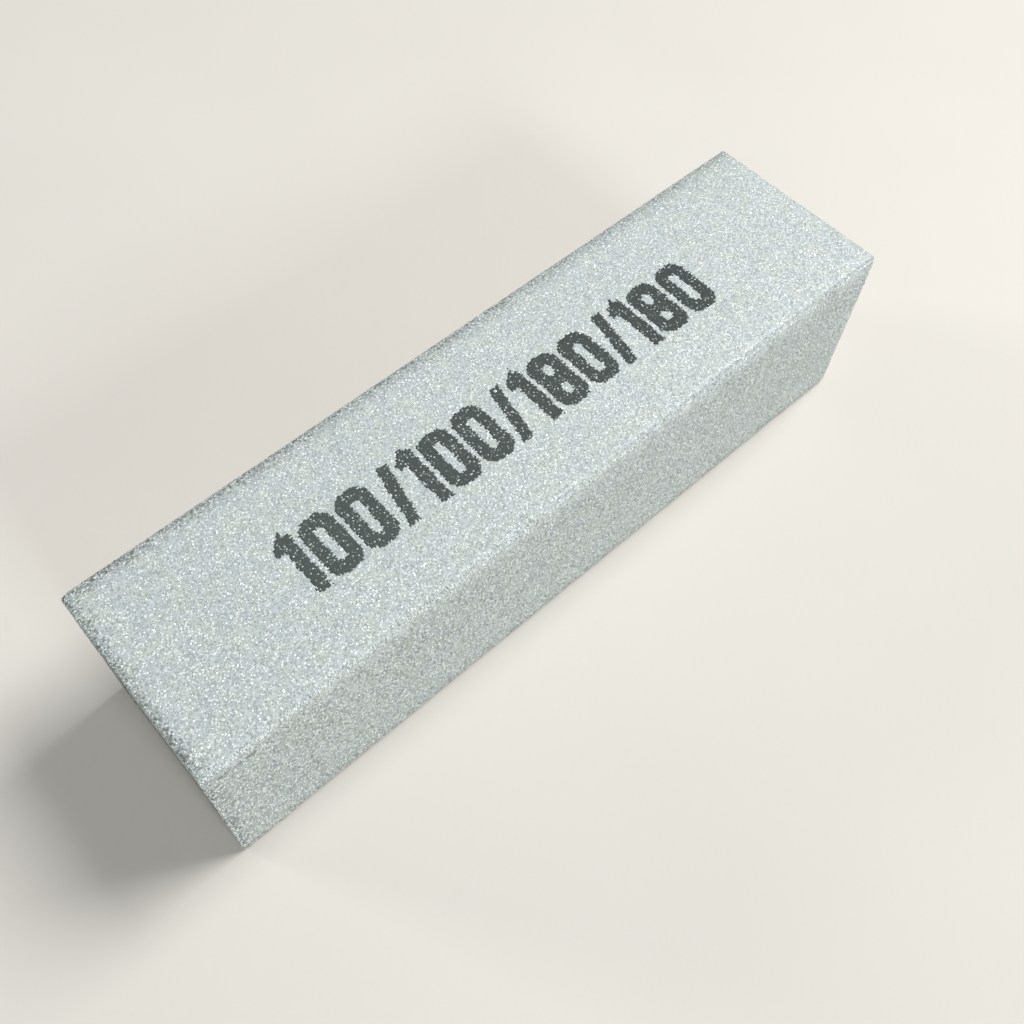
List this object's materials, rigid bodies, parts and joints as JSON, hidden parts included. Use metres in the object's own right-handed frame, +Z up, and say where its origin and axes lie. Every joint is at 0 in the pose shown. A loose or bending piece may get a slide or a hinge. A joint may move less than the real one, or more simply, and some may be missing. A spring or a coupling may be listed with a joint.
{
  "type": "nail buffer block",
  "caption": "Rectangular foam nail buffer block with abrasive paper glued to its long faces and a grade mark printed on top.",
  "frame": {"origin": "middle of the bottom face, on the surface that the block stands on", "axes": "+X along the block's length, in the mark's reading direction, +Y towards its far side, +Z up"},
  "size_m": [0.095, 0.0244, 0.024],
  "materials": {
    "foam": "closed-cell foam, matte, with small cut cells on the ends",
    "adhesive": "clear, slightly yellow transfer adhesive",
    "backing_paper": "grey-white latex paper, matte",
    "coarse_grit": "silver-white sparkling grains in a grey-green resin, 100 grade",
    "fine_grit": "silver-white sparkling grains in a grey-green resin, 180 grade",
    "ink": "dark grey-green ink, broken by the grains"
  },
  "bodies": {
    "root": {"foam_core": "foam", "top_adhesive": "adhesive", "top_paper": "backing_paper", "top_grit": "coarse_grit", "bottom_adhesive": "adhesive", "bottom_paper": "backing_paper", "bottom_grit": "fine_grit", "near_adhesive": "adhesive", "near_paper": "backing_paper", "near_grit": "coarse_grit", "far_adhesive": "adhesive", "far_paper": "backing_paper", "far_grit": "fine_grit", "grade_mark": "ink"}
  },
  "joints": []
}
